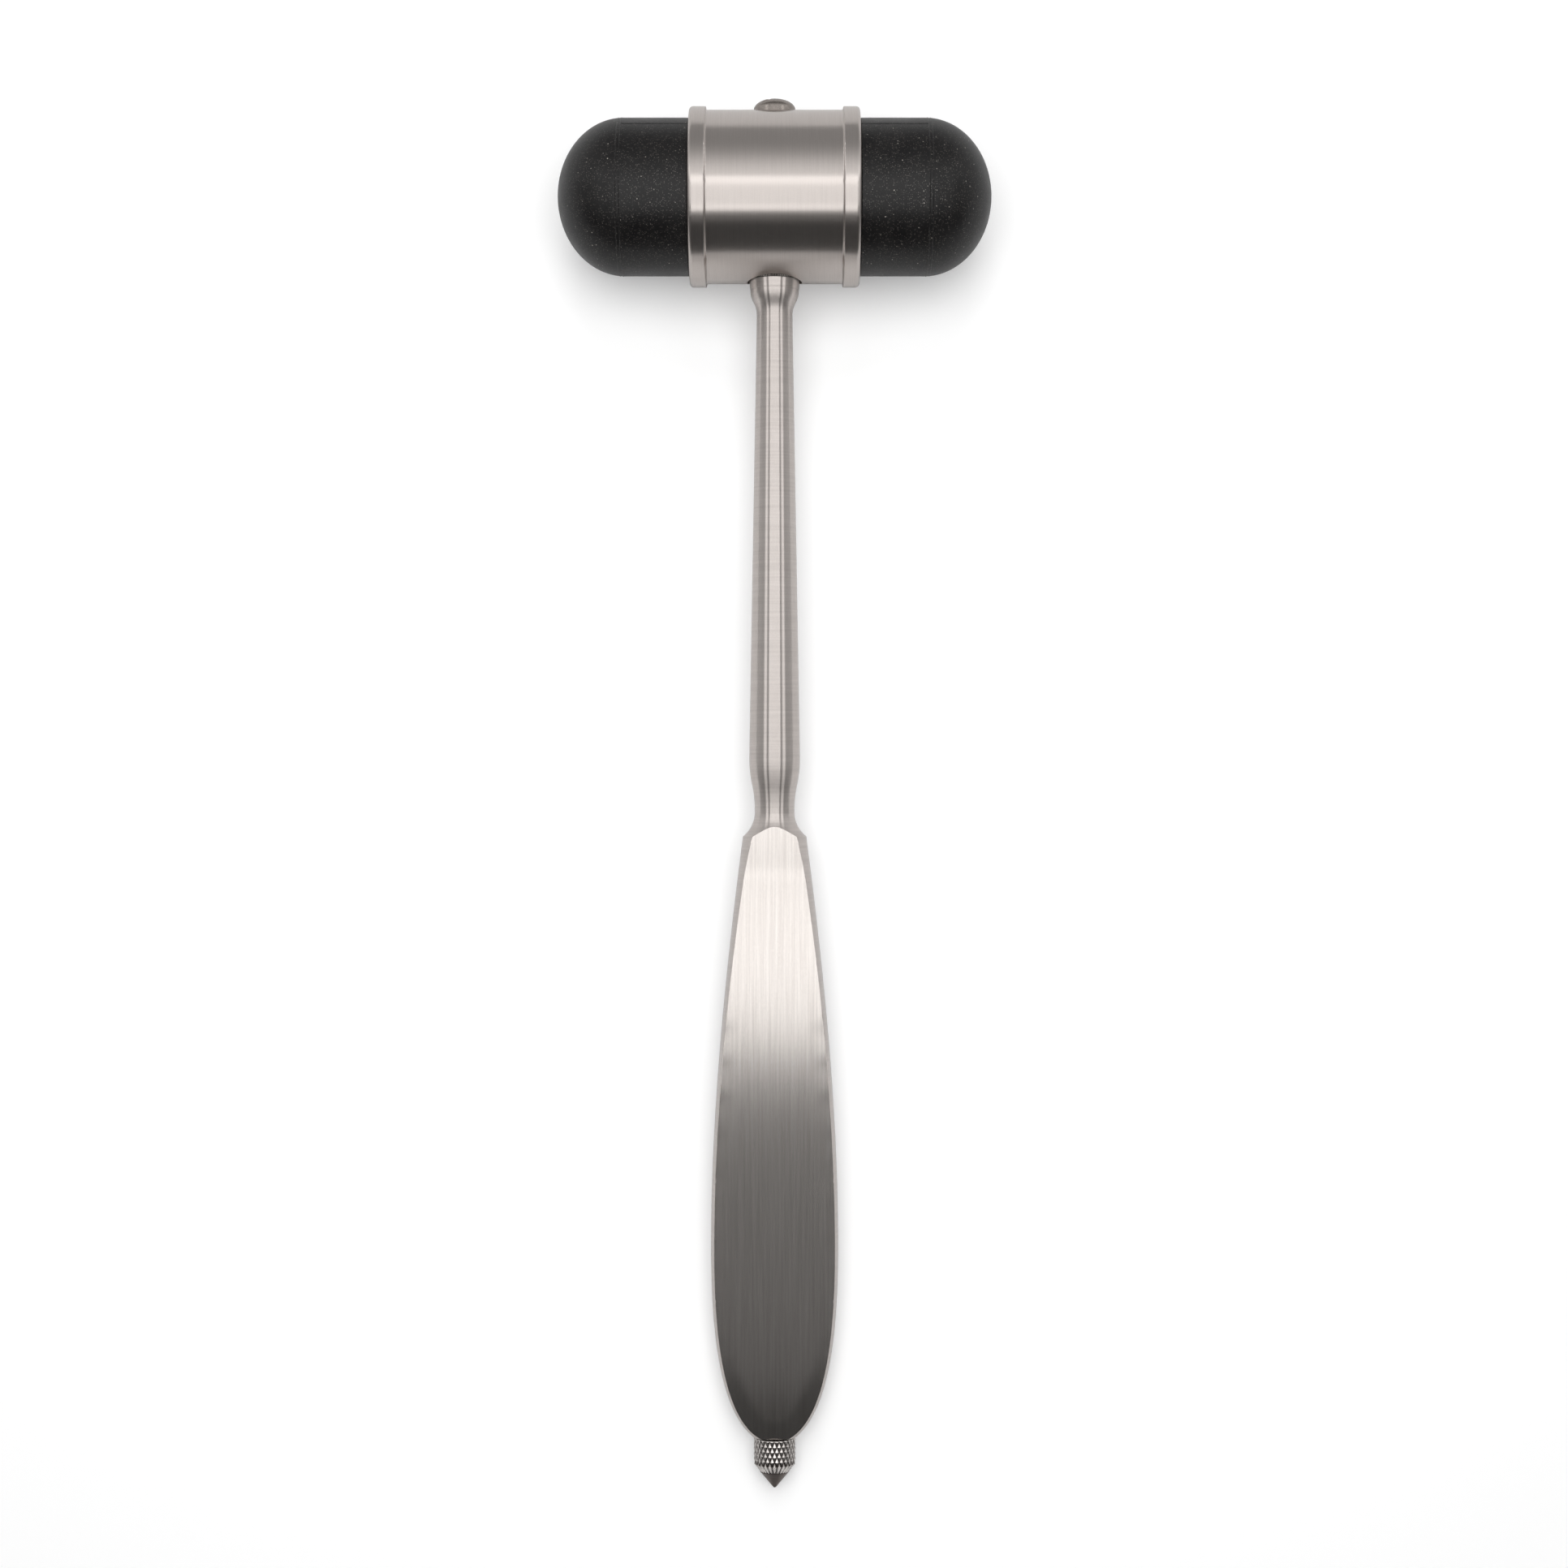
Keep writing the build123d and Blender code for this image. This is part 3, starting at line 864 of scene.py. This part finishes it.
def screw(steel):
    """Round-head screw with a sawn slot, its edges broken by tumbling."""
    stations = [(screw_shank_out, pole_r), (screw_shank_out, screw_shank_r - screw_shank_chamfer)]
    stations += [(screw_shank_out - screw_shank_chamfer, screw_shank_r), (screw_seat_out, screw_shank_r)]
    stations += [(screw_seat_out, screw_head_r - screw_head_edge)]
    stations += [(screw_seat_out - screw_head_edge, screw_head_r), (screw_dome_out, screw_head_r)]
    dome = screw_end_out - screw_dome_out
    for step in range(1, screw_dome_steps):
        angle = math.pi / 2 * step / screw_dome_steps
        stations.append((screw_dome_out + dome * math.sin(angle), screw_head_r * math.cos(angle)))
    stations.append((screw_end_out, pole_r))
    piece = turned("slotted_screw", stations, 72)
    piece.data.materials.append(steel)
    pick_nothing()
    saw_depth = 2.0
    bpy.ops.mesh.primitive_cube_add(size=MM, location=(0, -(screw_slot_floor_out - saw_depth / 2) * MM, 0))
    saw = bpy.context.object
    saw.data.materials.append(steel)
    saw.scale = (4 * screw_head_r, saw_depth, screw_slot_width)
    saw.rotation_euler = (0, screw_slot_turn, 0)
    bpy.ops.object.transform_apply(location=True, rotation=True, scale=True)
    cut_away(piece, saw)
    work_on(piece)
    pick(piece, "EDGE", lambda e: e.is_manifold and e.calc_face_angle(0) > screw_sharp_angle
         and all(v.co.y > -(screw_seat_out - 0.3) * MM for v in e.verts))
    bpy.ops.mesh.bevel(offset=screw_broken_edge * MM, segments=2, affect="EDGES", clamp_overlap=True)
    bpy.ops.object.mode_set(mode="OBJECT")
    smooth(piece, screw_crease)
    lay_in_place(piece)
    stand_for(piece, "hammer", "head_screw")


# ---------------------------------------------------------------- making the hammer

rubber = moulded_rubber()
bumper("bumper_left_moulded", "bumper_left", -1, rubber)
bumper("bumper_right_moulded", "bumper_right", 1, rubber)
knob(knurled_knob_steel(), point_steel_painted_shade())
handle(turned_bar_steel(), ground_flat_steel())
washer(burnished_washer_steel())
screw(satin_screw_steel_painted_shade())

finishes = {
    "head_sleeve": brushed_tube_steel(),
    "core_spacer": turned_spacer_steel(),
    "needle_pin": polished_pin_steel(),
}
for node, finish in finishes.items():
    slots = frame["nodes"][node].data.materials
    slots.clear()
    slots.append(finish)


# ---------------------------------------------------------------- studio

def camera():
    """Looks square on to the grip's flats, from above the handle's axis and a little to its right."""
    pick_nothing()
    target = head_centre + out_axis * camera_aim_out * MM
    above = tool_place.to_3x3() @ Vector((0, 0, 1))
    place = target + above * camera_distance * MM + x_axis * camera_to_right * MM
    bpy.ops.object.camera_add(location=place, rotation=(lean, 0, 0))
    made = bpy.context.object
    made.name = "camera"
    made.data.sensor_width = 36
    made.data.lens = camera_lens
    made.data.clip_start = 5 * MM
    made.data.clip_end = 10
    bpy.context.scene.camera = made


def lamp(name, place, aim, size, radiance, mirrored=True):
    """A soft rectangular lamp of that brightness; places and sizes are in millimetres."""
    pick_nothing()
    place, aim = Vector(place) * MM, Vector(aim) * MM
    bpy.ops.object.light_add(type="AREA", location=place)
    made = bpy.context.object
    made.name = name
    made.rotation_euler = (aim - place).to_track_quat("-Z", "Y").to_euler()
    made.data.shape = "RECTANGLE"
    made.data.size, made.data.size_y = size[0] * MM, size[1] * MM
    made.data.energy = radiance * math.pi * made.data.size * made.data.size_y
    made.visible_camera = False
    made.visible_glossy = mirrored


def lamps():
    """A softbox overhead that is brighter round its rim, a white card at each side, and a lamp behind."""
    lamp("softbox", (0, 34, 277), (0, 34, 0), (270, 222), 1.08)
    lamp("softbox_rim_left", (-120, 35, 276), (-120, 35, 0), (30, 220), 0.4)
    lamp("softbox_rim_right", (120, 35, 276), (120, 35, 0), (30, 220), 0.4)
    lamp("softbox_rim_front", (0, -54, 276), (0, -54, 0), (270, 46), 0.42)
    lamp("softbox_rim_back", (0, 122, 276), (0, 122, 0), (270, 46), 0.45)
    for number, length in enumerate((104, 70, 34)):
        middle = -76 - length / 2
        lamp(f"front_card_{number + 1}", (0, middle, 277), (0, middle, 0), (270, length), 0.09)
    lamp("side_card_left", (-290, 60, 310), (0, 60, 0), (420, 100), 0.8)
    lamp("side_card_right", (290, 60, 310), (0, 60, 0), (420, 100), 0.8)
    lamp("top_lamp", (0, 130, 900), (0, 130, 0), (680, 680), 3.0, mirrored=False)
    lamp("back_lamp", (0, 750, 750), (0, 0, 0), (380, 380), 4.3, mirrored=False)


def room():
    """A white room to the eye; what metal mirrors is dark overhead and grey towards the sides and back."""
    world = bpy.data.worlds.new("studio")
    bpy.context.scene.world = world
    world.use_nodes = True
    tree = world.node_tree
    facing = add(tree, "TexCoord", {}, {})
    parts = add(tree, "SeparateXYZ", {}, {"Vector": facing.outputs["Generated"]})
    sideways = add(tree, "Math", {"operation": "ABSOLUTE"}, {0: parts.outputs[0]}).outputs[0]
    backwards = parts.outputs[1]
    edges = []
    # each wall's edge: the way it lies, where it starts and ends, and its brightness at either end
    for way, start, end, low, high in (
            (sideways, 0.38, 0.56, 0.0, 0.34),
            (backwards, -0.4, 0.0, 0.2, 1.0),
            (backwards, 0.15, 0.27, 0.0, 0.84),
            (backwards, 0.3, 0.9, 0.0, 0.56)):
        edge = add(tree, "MapRange", {"interpolation_type": "SMOOTHSTEP"}, {
            "Value": way, "From Min": start, "From Max": end, "To Min": low, "To Max": high})
        edges.append(edge.outputs[0])
    side_walls, dim_in_front, back_wall, back_wall_fades = edges
    # the darkest that metal mirrors, overhead and in front
    darkest = 0.045
    walls = add(tree, "Math", {"operation": "MULTIPLY_ADD"}, {0: side_walls, 1: dim_in_front, 2: darkest})
    back = add(tree, "Math", {"operation": "SUBTRACT"}, {0: back_wall, 1: back_wall_fades})
    mirrored = add(tree, "Math", {"operation": "MAXIMUM"}, {0: walls.outputs[0], 1: back.outputs[0]})
    path = add(tree, "LightPath", {}, {})
    lighting = add(tree, "Mix", {"data_type": "FLOAT"}, {
        0: path.outputs["Is Glossy Ray"], 2: 0.22, 3: mirrored.outputs[0]})
    seen = add(tree, "Mix", {"data_type": "FLOAT"}, {
        0: path.outputs["Is Camera Ray"], 2: lighting.outputs[0], 3: 1.0})
    plug_in(tree, tree.nodes["Background"], {"Color": linear("FFFFFF"), "Strength": seen.outputs[0]})


def floor():
    """A plain white card under everything."""
    pick_nothing()
    bpy.ops.mesh.primitive_plane_add(size=6)
    card = bpy.context.object
    card.name = "floor"
    card.data.materials.append(floor_paper())


camera()
lamps()
room()
floor()
bpy.context.scene.view_settings.view_transform = "Standard"
